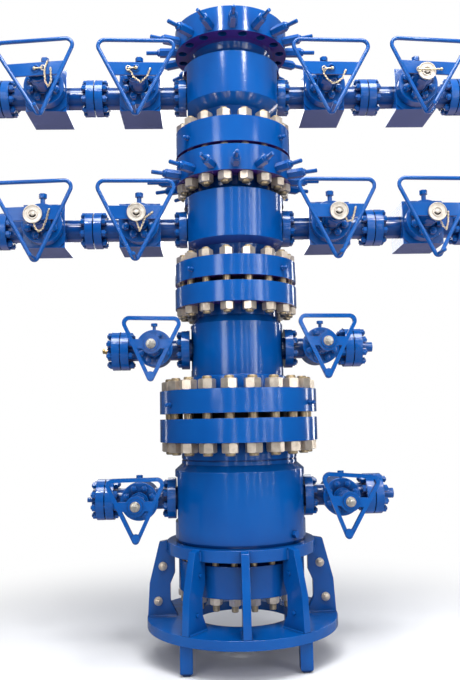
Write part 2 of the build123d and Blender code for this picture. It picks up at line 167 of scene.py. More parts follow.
# Locking washers, pins and chains on the tube wheels, as offsets from the hub across and up
WASHERS = dict(
    top_right_outer=(-13, -24),
    upper_left_outer=(-1, -7),
    upper_left_inner=(5, -2),
    upper_right_inner=(6, -5),
    upper_right_outer=(-2, -16),
)
PINS = dict(
    top_left_outer=((-4, -4), (40, 1)),
    top_left_inner=((4, -1), (-38, -4)),
    top_right_inner=((3, -8), (-40, -10)),
    top_right_outer=((62, -18), (-58, -18)),
)
CHAINS = dict(
    top_left_outer=((63, 39), (50, 8), (48, -15), (51, -70), (67, -100), (82, -70), (79, 1)),
    top_left_inner=((-42, -6), (-22, -23), (-10, -50), (27, -78), (61, -45), (77, -4)),
    top_right_inner=(
        (-44, -14),
        (-41, -38),
        (-23, -66),
        (5, -90),
        (29, -82),
        (56, -60),
        (74, -16),
    ),
    upper_left_outer=(
        (4, -51),
        (15, -82),
        (32, -98),
        (50, -83),
        (60, -57),
        (70, -36),
        (75, -5),
        (82, 18),
    ),
    upper_left_inner=((5, -48), (10, -62), (22, -99), (38, -64), (50, -31), (86, -3)),
    upper_right_inner=((33, -32), (48, -61), (74, -56), (84, -20), (92, 12)),
    upper_right_outer=((11, -60), (24, -92), (42, -109), (52, -70), (55, -17)),
)

# Fittings in the port plugs: turn from the front, distance of the plug's face and height, and each
# fitting's nipple and hexagon
PORT_FITTINGS = (
    (57, 442.5, 1308),
    (45, 350.5, 2020),
    (50, 340, 2749),
)
NIPPLE = ((9, 0), (9, 5), (7, 7), (7, 12), (9.5, 14), (9.5, 17), (6, 22), (0, 22))
NIPPLE_HEX = dict(flats=19, low=4, high=13, steps=3)

# The brass bleed fitting: its place in metres, its cap and its hexagon
BLEED_PLACE = (-0.740, 0, 1.614)
BLEED_CAP = ((13.2, -12), (13.8, -11), (13.8, -1), (11, 1.5), (0, 1.5))
BLEED_HEX = dict(flats=30, low=-27, high=-12, steps=4)

# Bolts through the two side ribs and small ones through the four diagonal ribs, as distance from
# the axis and height, half a rib's thickness, and the turns of the ribs round the axis
RIB_BOLTS = ((421, 454.5), (447, 275))
RIB_HALF = 20
SMALL_RIB_BOLTS = ((404, 466), (431, 282))
BOLTED_RIBS = (36, 144, 216, 324)
RIB_ANGLES = (0, 36, 90, 144, 180, 216, 270, 324)
RIB_WASHER = ((0, 0), (22, 0), (23, 1), (23, 4), (22, 5), (0, 5))
RIB_NUT = dict(flats=32, low=5, high=22, steps=4)
RIB_BOLT_END = dict(radius=9, low=20, high=28, count=14)
SMALL_RIB_NUT = dict(flats=19, low=-1, high=9, steps=3)

# Weld beads: radii along a rib's foot and up the collar, how far a bead's middle stands off, and
# the runs, outward along the foot and up the collar
FOOT_BEAD = 6
COLLAR_BEAD = 5
BEAD_OFF = 1
FOOT_RUN_START = 350
FOOT_RUN_SETBACK = 6
FOOT_RUN_STEP = 12
COLLAR_RUN = range(534, 580, 9)

# Edge rounding of forgings, plates, castings and small parts
FORGED_EDGE = 3.5
PLATE_EDGE = 2.0
CAST_EDGE = 3.2
SMALL_EDGE = 1.2

# Angle above which an edge is rounded, angle above which it stays sharp on a piece with no
# rounding, angle within which two faces are one, and distance in metres between points made one
ROUNDED_ABOVE = 24
SHARP_ABOVE = 32
SAME_FACE = 0.4
SAME_POINT = 1e-5

# The photograph's camera, found by fitting the flanges to their standard sizes, its place in metres
CAMERA_PLACE = (-0.1757, -4.0267, 1.232)
CAMERA_TURN = 1.97
CAMERA_LIFT = 6.15
CAMERA_ROLL = -1.16
CAMERA_LENS = 38.55
CAMERA_SENSOR = 36


# Frames


def along(axis, origin=(0, 0, 0)):
    """A frame whose local Z runs along axis from origin."""
    turn = Vector(axis).normalized().to_track_quat("Z", "Y")
    return Matrix.Translation(Vector(origin)) @ turn.to_matrix().to_4x4()


def shift(across, up, out):
    """A move in millimetres in the frame of a face: across, up and out of it."""
    return Matrix.Translation((across * MM, up * MM, out * MM))


def ring_places(bolting, base=Matrix()):
    """Frames evenly spaced on a bolt circle round the base frame's Z, the first half a step on."""
    places = []
    for index in range(bolting["count"]):
        spin = Matrix.Rotation(2 * pi * (index + 0.5) / bolting["count"], 4, "Z")
        places.append(base @ spin @ shift(bolting["circle"] / 2, 0, 0))
    return places


def facing(x, z, reach, turn=0):
    """A frame that faces the viewer, reach in front of the well's axis: X across, Y up, Z out."""
    upright = Matrix.Rotation(radians(90), 4, "X")
    return Matrix.Translation((x, -reach, z)) @ upright @ Matrix.Rotation(radians(turn), 4, "Z")


# Shapes are (points, faces) in metres


def turned(profile, count=32):
    """A lathe form about local Z from (radius, height) in millimetres; radius 0 closes an end."""
    points, faces, rings = [], [], []
    for radius, height in profile:
        if radius <= 1e-6:
            rings.append([len(points)])
            points.append((0, 0, height * MM))
        else:
            rings.append(list(range(len(points), len(points) + count)))
            for k in range(count):
                angle = 2 * pi * k / count
                points.append((radius * MM * cos(angle), radius * MM * sin(angle), height * MM))
    for low, high in zip(rings, rings[1:]):
        for k in range(count):
            after = (k + 1) % count
            if len(low) == 1:
                faces.append((low[0], high[after], high[k]))
            elif len(high) == 1:
                faces.append((low[k], low[after], high[0]))
            else:
                faces.append((low[k], low[after], high[after], high[k]))
    return points, faces


def many_sided(sides, flats, low, high, steps=6):
    """A prism of so many flats with its corners turned off at both ends, as on a nut."""
    count = sides * steps
    reach = flats / 2
    face = reach * NUT_FACE
    slope = tan(radians(NUT_CHAMFER))

    def radius_at(k):
        return reach / cos((k % steps) / steps * (2 * pi / sides) - pi / sides)

    def ring(height_of, radius_of):
        points = []
        for k in range(count):
            angle = 2 * pi * k / count
            radius = radius_of(k) * MM
            points.append((radius * cos(angle), radius * sin(angle), height_of(k) * MM))
        return points

    def cut(k):
        return (radius_at(k) - face) * slope

    rings = (
        ring(lambda k: low, lambda k: face),
        ring(lambda k: low + cut(k), radius_at),
        ring(lambda k: high - cut(k), radius_at),
        ring(lambda k: high, lambda k: face),
    )
    points = [p for one in rings for p in one]
    faces = []
    for level in range(len(rings) - 1):
        a, b = level * count, (level + 1) * count
        for k in range(count):
            after = (k + 1) % count
            faces.append((a + k, a + after, b + after, b + k))
    faces.append(tuple(range(count - 1, -1, -1)))
    faces.append(tuple(range(len(points) - count, len(points))))
    return points, faces


def slab(outline, low, high):
    """A flat plate from its outline in millimetres, between two heights."""
    count = len(outline)
    points = [(x * MM, y * MM, z * MM) for z in (low, high) for x, y in outline]
    faces = [tuple(range(count - 1, -1, -1)), tuple(range(count, 2 * count))]
    for k in range(count):
        after = (k + 1) % count
        faces.append((k, after, count + after, count + k))
    return points, faces


def swept(path, radius, closed=False, count=14):
    """A round bar of that radius along a list of points, all in millimetres."""
    path = [Vector(p) * MM for p in path]
    radius = radius * MM
    total = len(path)
    points, faces = [], []
    side = None
    for i, here in enumerate(path):
        before = path[i - 1] if (i or closed) else here
        after = path[(i + 1) % total] if (i < total - 1 or closed) else here
        heading = (after - before).normalized()
        if side is None:
            side = heading.orthogonal().normalized()
        side = (side - heading * side.dot(heading)).normalized()
        up = heading.cross(side)
        for k in range(count):
            angle = 2 * pi * k / count
            points.append(tuple(here + radius * (cos(angle) * side + sin(angle) * up)))
    for i in range(total if closed else total - 1):
        a, b = i * count, ((i + 1) % total) * count
        for k in range(count):
            after = (k + 1) % count
            faces.append((a + k, a + after, b + after, b + k))
    if not closed:
        faces.append(tuple(range(count - 1, -1, -1)))
        faces.append(tuple(range((total - 1) * count, total * count)))
    return points, faces


def rounded(corners, radii, steps=10):
    """The outline of a closed flat polygon with each corner turned to a radius, in millimetres."""
    outline = []
    for i, here in enumerate(corners):
        here = Vector(here)
        to_before = (Vector(corners[i - 1]) - here).normalized()
        to_after = (Vector(corners[(i + 1) % len(corners)]) - here).normalized()
        half = acos(max(-1, min(1, to_before.dot(to_after)))) / 2
        middle = here + (to_before + to_after).normalized() * radii[i] / sin(half)
        start = here + to_before * radii[i] / tan(half) - middle
        end = here + to_after * radii[i] / tan(half) - middle
        sweep = start.angle_signed(end)
        for step in range(steps + 1):
            turn = Matrix.Rotation(-sweep * step / steps, 2)
            outline.append(tuple(middle + turn @ start))
    return outline


def oval(half_width, half_height, count, middle=(0, 0), out=0):
    """Points round an oval, in millimetres."""
    points = []
    for k in range(count):
        angle = 2 * pi * k / count
        across = middle[0] + half_width * cos(angle)
        up = middle[1] + half_height * sin(angle)
        points.append((across, up, out))
    return points


def placed(shape, place):
    """A shape moved into a frame."""
    points, faces = shape
    return [tuple(place @ Vector(p)) for p in points], faces


def joined(*shapes):
    """Several shapes as one."""
    points, faces = [], []
    for shape_points, shape_faces in shapes:
        start = len(points)
        points += [tuple(p) for p in shape_points]
        faces += [tuple(start + i for i in f) for f in shape_faces]
    return points, faces


def round_edges(thing, width):
    """Rounds a piece's sharp edges and keeps its flat faces flat."""
    rounding = thing.modifiers.new("rounded edges", "BEVEL")
    rounding.width = width * MM
    rounding.segments = 2
    rounding.limit_method = "ANGLE"
    rounding.angle_limit = radians(ROUNDED_ABOVE)
    evening = thing.modifiers.new("flat faces stay flat", "WEIGHTED_NORMAL")
    evening.keep_sharp = False


def shown(name, mesh, material, body, stands_for=()):
    """Puts a mesh in the scene with its finish, riding on a body, for the nodes it stands for."""
    mesh.materials.clear()
    mesh.materials.append(material)
    mesh.shade_smooth()
    thing = bpy.data.objects.new(name, mesh)
    bpy.context.scene.collection.objects.link(thing)
    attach(thing, body)
    if stands_for:
        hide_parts(*stands_for)
    return thing


def piece(name, body, slot, material, shapes, stands_for=(), edge=0):
    """One visible piece made of shapes."""
    points, faces = joined(*shapes)
    mesh = bpy.data.meshes.new(name)
    mesh.from_pydata(points, [], faces)
    form = bmesh.new()
    form.from_mesh(mesh)
    bmesh.ops.recalc_face_normals(form, faces=form.faces)
    form.to_mesh(mesh)
    form.free()
    thing = shown(name, mesh, material, body, stands_for)
    if edge:
        round_edges(thing, edge)
    else:
        mesh.set_sharp_from_angle(angle=radians(SHARP_ABOVE))
    return thing


def eased(node, width, material, body=STACK):
    """The node's own form with its sharp edges rounded, as a forging or a ground plate has them."""
    mesh = frame["nodes"][node].data.copy()
    form = bmesh.new()
    form.from_mesh(mesh)
    bmesh.ops.remove_doubles(form, verts=form.verts, dist=SAME_POINT)
    # Not on a handwheel, where a flat face has a hole in it
    if body == STACK:
        flat = radians(SAME_FACE)
        bmesh.ops.dissolve_limit(form, angle_limit=flat, verts=form.verts, edges=form.edges)
    form.to_mesh(mesh)
    form.free()
    thing = shown(node + "_finished", mesh, material, body, (node,))
    round_edges(thing, width)
    return thing


# Materials


def linear(code):
    """A hex sRGB colour as linear numbers."""
    values = [int(code[i : i + 2], 16) / 255 for i in (1, 3, 5)]
    return [v / 12.92 if v <= 0.04045 else ((v + 0.055) / 1.055) ** 2.4 for v in values] + [1]


def add(tree, kind, settings=None, links=None):
    """Adds a node, sets its properties and inputs by name or number, and links what feeds it."""
    node = tree.nodes.new(kind)
    for key, value in (settings or {}).items():
        if isinstance(key, int) or key in node.inputs:
            node.inputs[key].default_value = value
        else:
            setattr(node, key, value)
    for key, source in (links or {}).items():
        tree.links.new(source, node.inputs[key])
    return node


def new_material(name):
    """A material with nothing in it but its output."""
    material = bpy.data.materials.new(name)
    material.use_nodes = True
    tree = material.node_tree
    tree.nodes.clear()
    output = tree.nodes.new("ShaderNodeOutputMaterial")
    return material, tree, output


def clouded(tree, place, scale, detail, low, high):
    """Noise of that scale per metre, and a colour that drifts between two tones with it."""
    cloud = add(tree, "ShaderNodeTexNoise", {"Scale": scale, "Detail": detail}, {"Vector": place})
    tone = add(
        tree,
        "ShaderNodeMix",
        {"data_type": "RGBA", "A": linear(low), "B": linear(high)},
        {"Factor": cloud.outputs["Fac"]},
    )
    return cloud.outputs["Fac"], tone.outputs["Result"]


def blue_enamel(name, painted_underside_colour):
    """Two-part gloss enamel sprayed on forgings and castings: a deep, slightly green blue with a
    wavy gloss. Painted shade darkens it in inward corners and near other surfaces, a painted
    highlight pales its sharp edges, and its down-facing faces take a painted purple tone that
    stands for shade and the floor's reflection."""
    material, tree, output = new_material(name)
    place = add(tree, "ShaderNodeTexCoord").outputs["Object"]
    cloud, tone = clouded(tree, place, 4.0, 3.0, "#023f86", "#0458a6")
    surface = add(tree, "ShaderNodeNewGeometry")
    # Painted shade: a darker blue where the surface turns inward, in corners and at necks
    painted_corner_shade = add(
        tree,
        "ShaderNodeMapRange",
        {"From Min": 0.497, "From Max": 0.455, "To Max": 0.9},
        {"Value": surface.outputs["Pointiness"]},
    )
    # Painted highlight: a paler blue on sharp outward edges and on thin parts
    painted_edge_highlight = add(
        tree,
        "ShaderNodeMapRange",
        {"From Min": 0.59, "From Max": 0.74, "To Max": 0.45},
        {"Value": surface.outputs["Pointiness"]},
    )
    # Painted shade and reflection: down-facing faces tinted towards the underside colour
    facing_down = add(tree, "ShaderNodeSeparateXYZ", {}, {0: surface.outputs["Normal"]})
    painted_underside_mask = add(
        tree,
        "ShaderNodeMapRange",
        {"From Min": -0.82, "From Max": -0.97, "To Max": 0.92},
        {"Value": facing_down.outputs["Z"]},
    )
    # Painted shade within 70 mm of a neighbour, darker the more the surface is hemmed in
    nook = add(
        tree, "ShaderNodeAmbientOcclusion", {"samples": 4, "only_local": False, "Distance": 0.07}
    )
    painted_nook_shade = add(
        tree,
        "ShaderNodeMapRange",
        {"From Min": 0.85, "From Max": 0.3, "To Max": 0.75},
        {"Value": nook.outputs["AO"]},
    )
    # Painted shade in inward corners, painted shade near other surfaces, painted highlight on
    # sharp edges and the painted purple underside tone, laid over the blue in that order
    layers = ((painted_corner_shade, "#03235c"), (painted_nook_shade, "#051a45"), (painted_edge_highlight, "#4f8fd0"), (painted_underside_mask, painted_underside_colour))
    for share, colour in layers:
        layer = add(
            tree,
            "ShaderNodeMix",
            {"data_type": "RGBA", "B": linear(colour)},
            {"Factor": share.outputs["Result"], "A": tone},
        )
        tone = layer.outputs["Result"]
    rough = add(tree, "ShaderNodeMapRange", {"To Min": 0.08, "To Max": 0.2}, {"Value": cloud})
    # Orange peel 6 mm across on a slow wave 60 mm across
    peel = add(tree, "ShaderNodeTexNoise", {"Scale": 160.0, "Detail": 2.0}, {"Vector": place})
    wave = add(tree, "ShaderNodeTexNoise", {"Scale": 16.0, "Detail": 1.0}, {"Vector": place})
    slow = add(
        tree,
        "ShaderNodeBump",
        {"Strength": 0.3, "Distance": 0.002},
        {"Height": wave.outputs["Fac"]},
    )
    fine = add(
        tree,
        "ShaderNodeBump",
        {"Strength": 0.35, "Distance": 0.0005},
        {"Height": peel.outputs["Fac"], "Normal": slow.outputs["Normal"]},
    )
    shader = add(
        tree,
        "ShaderNodeBsdfPrincipled",
        {"IOR": 1.5},
        {
            "Base Color": tone,
            "Roughness": rough.outputs["Result"],
            "Normal": fine.outputs["Normal"],
        },
    )
    tree.links.new(shader.outputs["BSDF"], output.inputs["Surface"])
    return material


def satin_metal(name, dark, light, roughness, grain=30.0, metallic=1.0):
    """Machined steel or brass, plated or bare: a satin metal, cloudy with handling. A thick dull
    passivated plating is less metallic, so that it shows its cream colour under any light."""
    material, tree, output = new_material(name)
    place = add(tree, "ShaderNodeTexCoord").outputs["Object"]
    cloud, tone = clouded(tree, place, grain, 4.0, dark, light)
    rough = add(
        tree,
        "ShaderNodeMapRange",
        {"To Min": roughness[0], "To Max": roughness[1]},
        {"Value": cloud},
    )
    # Fine tool marks about 1 mm apart
    marks = add(tree, "ShaderNodeTexNoise", {"Scale": 900.0, "Detail": 1.0}, {"Vector": place})
    bump = add(
        tree,
        "ShaderNodeBump",
        {"Strength": 0.1, "Distance": 0.0002},
        {"Height": marks.outputs["Fac"]},
    )
    shader = add(
        tree,
        "ShaderNodeBsdfPrincipled",
        {"Metallic": metallic},
        {
            "Base Color": tone,
            "Roughness": rough.outputs["Result"],
            "Normal": bump.outputs["Normal"],
        },
    )
    tree.links.new(shader.outputs["BSDF"], output.inputs["Surface"])
    return material


# Underside colours: grey-purple as painted floor reflection, dark purple as painted shade under the
# heads
enamel = blue_enamel("blue_enamel", "#63648a")
head_enamel = blue_enamel("blue_enamel_with_painted_purple_underside", "#42206c")
zinc = satin_metal("yellow_zinc_plating", "#ad9c88", "#fbeedd", (0.24, 0.4), 30.0, 0.75)
stud_steel = satin_metal("zinc_plated_thread", "#8c7758", "#dcc7a2", (0.35, 0.5), 60.0, 0.8)
gasket_steel = satin_metal("dull_gasket_steel", "#211d1c", "#3a3431", (0.45, 0.6))
bright_steel = satin_metal("bright_steel", "#948f86", "#ece7dc", (0.22, 0.36), 60.0, 0.85)
chain_steel = satin_metal("plated_chain", "#b8a078", "#f6e8c8", (0.25, 0.4), 80.0, 0.7)
brass = satin_metal("turned_brass", "#8a6a38", "#dcc08a", (0.25, 0.4), 60.0)
washer_steel = satin_metal("plated_washer", "#a3998c", "#f3ece2", (0.36, 0.5), 40.0, 0.75)

# The record's slot and the material of each finish
ENAMELLED = ("blue_enamel", enamel)
PLATED = ("zinc_plating", zinc)
THREADED = ("zinc_plating", stud_steel)
BRIGHT = ("zinc_plating", bright_steel)
CHAINED = ("zinc_plating", chain_steel)
WASHED = ("zinc_plating", washer_steel)


# Castings, forgings and plates, from the frame


def finish_frame():
    """Every node of the frame that is not rebuilt below, with the edge its making leaves."""
    rebuilt = {
        "lower_joint_nuts",
        "middle_joint_nuts",
        "upper_joint_nuts",
        "connector_studs",
        "middle_lock_screws",
        "top_lock_screws",
        "rib_bolts",
    }
    for node, thing in sorted(frame["nodes"].items()):
        body = thing["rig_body"]
        if node in rebuilt or body[: -len("_wheel")] in REST_TURNS:
            continue
        if node == "ring_gaskets":
            eased(node, SMALL_EDGE, gasket_steel)
        elif node.endswith("_handwheel"):
            eased(node, CAST_EDGE, enamel, body)
        elif node.startswith("base_"):
            eased(node, PLATE_EDGE, enamel)
        elif node in ("port_plugs", "end_plugs", "valve_grease_fittings"):
            eased(node, SMALL_EDGE, enamel)
        elif node.startswith(PRESSURE_PARTS):
            eased(node, FORGED_EDGE, head_enamel)
        else:
            eased(node, FORGED_EDGE, enamel)


# Bolting


def stud(radius, low, high, count=20):
    """A threaded bar with turned-off ends."""
    ease = radius * STUD_EASE
    profile = (
        (0, low),
        (radius - ease, low),
        (radius, low + ease),
        (radius, high - ease),
        (radius - ease, high),
        (0, high),
    )
    return turned(profile, count)


def joint_bolting(name, joint, node):
    """Nuts above and below a joint and the stud through each pair."""
    low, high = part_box(node)
    bottom, top = low.z / MM, high.z / MM
    nut = joint["nut"]
    tip = nut * STUD_PROUD
    nuts, studs = [], []
    for place in ring_places(joint):
        nuts.append(placed(many_sided(6, joint["flats"], bottom, bottom + nut), place))
        nuts.append(placed(many_sided(6, joint["flats"], top - nut, top), place))
        studs.append(placed(stud(joint["stud"], bottom - tip, top + tip), place))
    piece(name + "_nuts", STACK, *PLATED, nuts, (node,))
    piece(name + "_studs", STACK, *THREADED, studs)


def connector_bolting():
    """The pull-up studs of the casing connector with a nut under each."""
    low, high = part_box("connector_studs")
    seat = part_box("casing_connector")[0].z / MM
    nuts, bars = [], []
    for place in ring_places(CONNECTOR):
        nut = many_sided(6, CONNECTOR["flats"], seat - CONNECTOR["nut"], seat)
        nuts.append(placed(nut, place))
        bars.append(placed(stud(CONNECTOR["stud"], low.z / MM, high.z / MM), place))
    piece("connector_nuts", STACK, *PLATED, nuts, ("connector_studs",))
    piece("connector_stud_bars", STACK, *THREADED, bars)


def lock_screws(node):
    """Gland nuts round a flange's rim, each with a neck and a six-sided stem."""
    low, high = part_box(node)
    height = (low.z + high.z) / 2
    tip = high.x / MM
    parts = []
    for index in range(LOCK_COUNT):
        angle = 2 * pi * index / LOCK_COUNT
        place = along((cos(angle), sin(angle), 0), (0, 0, height))
        parts.append(placed(many_sided(6, GLAND_FLATS, GLAND_FOOT, GLAND_SHOULDER, 4), place))
        parts.append(placed(turned(GLAND_NECK, 18), place))
        parts.append(placed(many_sided(6, LOCK_STEM_FLATS, LOCK_STEM_FOOT, tip, 3), place))
    piece(node + "_finished", STACK, *ENAMELLED, parts, (node,))


def nut_and_tip(bolting, seat, steps=3):
    """A nut that stands on a face at height seat, with its stud's end."""
    top = seat + bolting["nut"]
    return joined(
        many_sided(6, bolting["flats"], seat, top, steps),
        stud(bolting["stud"], seat, top + bolting["nut"] * STUD_PROUD, 12),
    )


def valve_bolting(row, valve, x, z, name, side, is_last):
    """Painted nuts on the flanges and bonnet of one valve, and on the flange that ends its line."""
    parts = []
    for end in (-1, 1):
        inner = x + end * (valve["half"] - valve["thick"]) * MM
        base = along((-end, 0, 0), (inner, 0, z))
        for place in ring_places(valve["outlet"], base):
            parts.append(placed(nut_and_tip(valve["outlet"], 0), place))
    if is_last:
        face = x + side * (valve["half"] + valve["thick"]) * MM
        for place in ring_places(valve["outlet"], along((side, 0, 0), (face, 0, z))):
            parts.append(placed(nut_and_tip(valve["outlet"], 0), place))
            between = stud(valve["outlet"]["stud"], -2 * valve["thick"], 0, 12)
            parts.append(placed(between, place))
    cover = facing(x, z, valve["cover_front"] * MM)
    for place in ring_places(valve["cover"], cover):
        parts.append(placed(nut_and_tip(valve["cover"], 0), place))
    # Gland flange at the cap's root and the ring of its bearing nut at the front
    cap = valve["cap"]
    reach = valve["cap_front"] - valve["cover_front"]
    collar = [(cap + beyond, out) for beyond, out in GLAND_COLLAR]
    back, front = reach - BEARING_NUT_BACK, reach - BEARING_NUT_FRONT
    nut_ring = many_sided(BEARING_NUT_SIDES, 2 * cap + BEARING_NUT_WIDER, back, front, 4)
    parts.append(placed(turned(collar, 40), cover))
    parts.append(placed(nut_ring, cover))
    piece(name + "_bolting", STACK, *ENAMELLED, parts)


def port_fittings():
    """A capped grease fitting screwed into each plug on the flange rims and the lowest head."""
    parts = []
    for turn, reach, height in PORT_FITTINGS:
        for side in (-1, 1):
            angle = radians(turn)
            spot = (side * reach * MM * sin(angle), -reach * MM * cos(angle), height * MM)
            place = along((side * sin(angle), -cos(angle), 0), spot)
            parts.append(placed(turned(NIPPLE, 16), place))
            parts.append(placed(many_sided(6, **NIPPLE_HEX), place))
    piece("port_fittings", STACK, *ENAMELLED, parts)


def bleed_fitting():
    """The brass bleed fitting in the small plug that ends the middle row on the left."""
    place = along((-1, 0, 0), BLEED_PLACE)
    shapes = [placed(many_sided(6, **BLEED_HEX), place), placed(turned(BLEED_CAP, 20), place)]
    piece("bleed_fitting", STACK, "zinc_plating", brass, shapes)


def rib_bolting():
    """Plated bolts and washers on the two side ribs, and small painted bolts on four others."""
    washers, heads = [], []
    for side in (-1, 1):
        for reach, height in RIB_BOLTS:
            for face in (-1, 1):
                place = along((0, face, 0), (side * reach * MM, face * RIB_HALF * MM, height * MM))
                washers.append(placed(turned(RIB_WASHER, 28), place))
                heads.append(placed(many_sided(6, **RIB_NUT), place))
                heads.append(placed(stud(**RIB_BOLT_END), place))
    piece("rib_bolt_washers", STACK, *WASHED, washers)
    piece("rib_bolt_heads", STACK, *PLATED, heads, ("rib_bolts",))
    small = []
    for angle in BOLTED_RIBS:
        spin = Matrix.Rotation(radians(angle), 4, "Z")
        for reach, height in SMALL_RIB_BOLTS:
            for face in (-1, 1):
                place = along((face, 0, 0), (face * RIB_HALF * MM, -reach * MM, height * MM))
                small.append(placed(many_sided(6, **SMALL_RIB_NUT), spin @ place))
    piece("small_rib_bolts", STACK, *ENAMELLED, small)


def rib_welds():
    """Fillet beads along the ribs' feet on the base ring and their tops on the collar."""
    ring_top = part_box("base_ring")[1].z / MM
    ring_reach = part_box("base_ring")[1].x / MM - FOOT_RUN_SETBACK
    collar_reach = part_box("base_collar")[1].x / MM
    foot_run = range(FOOT_RUN_START, int(ring_reach), FOOT_RUN_STEP)
    beads = []
    for angle in RIB_ANGLES:
        spin = Matrix.Rotation(radians(angle), 4, "Z")
        for face in (-1, 1):
            side = face * (RIB_HALF + BEAD_OFF)
            foot = [(side, -reach, ring_top + BEAD_OFF) for reach in foot_run]
            top = [(side, -collar_reach - BEAD_OFF, height) for height in COLLAR_RUN]
            beads.append(placed(swept(foot, FOOT_BEAD, count=8), spin))
            beads.append(placed(swept(top, COLLAR_BEAD, count=8), spin))
    piece("rib_welds", STACK, *ENAMELLED, beads)


# Handwheels


def tube_wheel(name, body, x, z, hub_reach):
    """A rim of round tube with a hub plate across it, a sleeve behind and a grip at its tip."""
    row = name.split("_")[0]
    wheel = TUBE_WHEELS[row]
    place = facing(x, z, hub_reach, REST_TURNS[name])
    lean = radians(wheel["half_apex"])
    apex = wheel["drop"] + wheel["tip"] * (1 / sin(lean) - 1) - TUBE_RADIUS / sin(lean)
    top = wheel["rise"] - TUBE_RADIUS
    half_top = tan(lean) * (top + apex)
    bend = wheel["corner"] - TUBE_RADIUS
    corners = ((-half_top, top), (0, -apex), (half_top, top))
    rim = rounded(corners, (bend, wheel["tip"] - TUBE_RADIUS, bend))
    rim_tube = swept([(a, b, 0) for a, b in rim], TUBE_RADIUS, closed=True, count=20)

    half = HUB_PLATE_HEIGHT / 2
    middle = apex * tan(lean)
    spread = half * tan(lean)
    plate_outline = (
        (-(middle + spread), half),
        (-(middle - spread), -half),
        (middle - spread, -half),
        (middle + spread, half),
    )
    plate = slab(plate_outline, -HUB_PLATE_HALF, HUB_PLATE_HALF)
    behind = hub_reach / MM - BLOCK_VALVE["cap_front"] - RUNNING_GAP
    sleeve = (
        (0, -behind),
        (HUB_SLEEVE_RADIUS - HUB_SLEEVE_EASE, -behind),
        (HUB_SLEEVE_RADIUS, HUB_SLEEVE_EASE - behind),
        (HUB_SLEEVE_RADIUS, 0),
    )
    grip_place = place @ shift(0, TUBE_RADIUS + GRIP_ABOVE - wheel["drop"], 0)
    shapes = [placed(shape, place) for shape in (rim_tube, turned(sleeve), turned(HUB_BOSS))]
    shapes.append(placed(turned(GRIP, 24), grip_place))
    piece(name + "_tube", body, *ENAMELLED, shapes, (name + "_handwheel",))
    piece(name + "_hub_plate", body, *ENAMELLED, [placed(plate, place)], edge=HUB_PLATE_EDGE)


def cast_wheel_nut(name, body, x, z, hub_reach):
    """The bright nut and washer that hold a cast wheel on its spindle."""
    place = facing(x, z, hub_reach)
    shapes = [
        placed(turned(CAST_WASHER, 28), place @ shift(0, 0, CAST_BOSS_FRONT)),
        placed(many_sided(6, **CAST_NUT), place),
        placed(stud(**CAST_SCREW_END), place),
    ]
    piece(name + "_hub_nut", body, *BRIGHT, shapes)


# Locking gear on the tube wheels

WASHER_PROFILE = (
    (0, 9),
    (47, 9),
    (48.5, 11),
    (48.5, 18),
    (47, 19.5),
    (44.5, 19.5),
    (42, 14.5),
    (27, 13.5),
    (25, 19.5),
    (21, 19.5),
    (18.5, 12.5),
    (11, 12.5),
    (9, 17),
    (6, 18.5),
    (0, 18.5),
)

# The painted shadow crescent's outer and inner radius, its back and front, and the angles
# that it spans
SHADOW_CRESCENT_RADII = (18, 11.5)
SHADOW_CRESCENT_DEPTHS = (12, 14)
SHADOW_CRESCENT_ANGLES = range(190, 351, 16)

# Locking pins: how far out they lie over a washer and without one, radii of the ball and the rod,
# and the split ring's half width, half height and wire radius
PIN_OVER_WASHER = 22
PIN_OVER_HUB = 17
PIN_BALL = 9
PIN_ROD = 4
SPLIT_RING = (11, 13)
SPLIT_RING_WIRE = 2.2

# Chains: how far out they hang, the pitch of the links, a link's half length, half width, wire
# radius and roll, and the eye at the chain's end
CHAIN_OUT = 11
LINK_PITCH = 8.6
LINK = (6.4, 4)
LINK_WIRE = 1.6
LINK_ROLL = 20
EYE_OUT = 9
EYE = ((0, -4), (5, -4), (5.5, 1), (4, 4), (0, 5))


def locking_washer(name, body, hub):
    """A pressed washer with a raised rim, and below its centre a dark crescent that is a painted
    shadow.
    """
    across, up = WASHERS[name]
    place = hub @ shift(across, up, 0)
    piece(name + "_washer", body, *WASHED, [placed(turned(WASHER_PROFILE, 48), place)])
    outer, inner = SHADOW_CRESCENT_RADII
    arc = [radians(angle) for angle in SHADOW_CRESCENT_ANGLES]
    outline = [(outer * cos(a), outer * sin(a)) for a in arc]
    outline += [(inner * cos(a), inner * sin(a)) for a in reversed(arc)]
    # A dark crescent slab under the washer's centre in the dark gasket steel: a painted shadow
    painted_shadow_crescent = placed(slab(outline, *SHADOW_CRESCENT_DEPTHS), place)
    piece(name + "_keyway", body, "gasket_steel", gasket_steel, [painted_shadow_crescent])


def locking_pin(name, body, hub):
    """A pin with a ball head, and the split ring at its other end."""
    head, tail = PINS[name]
    out = PIN_OVER_WASHER if name in WASHERS else PIN_OVER_HUB
    arc = [pi * k / 10 for k in range(11)]
    ball = [(PIN_BALL * sin(a), PIN_BALL * -cos(a)) for a in arc]
    rod = swept([(*head, out), (*tail, out)], PIN_ROD, count=12)
    ring = swept(oval(*SPLIT_RING, 18, tail, out), SPLIT_RING_WIRE, closed=True, count=8)
    shapes = [
        placed(turned(ball, 18), hub @ shift(*head, out)),
        placed(rod, hub),
        placed(ring, hub),
    ]
    piece(name + "_pin", body, *CHAINED, shapes)


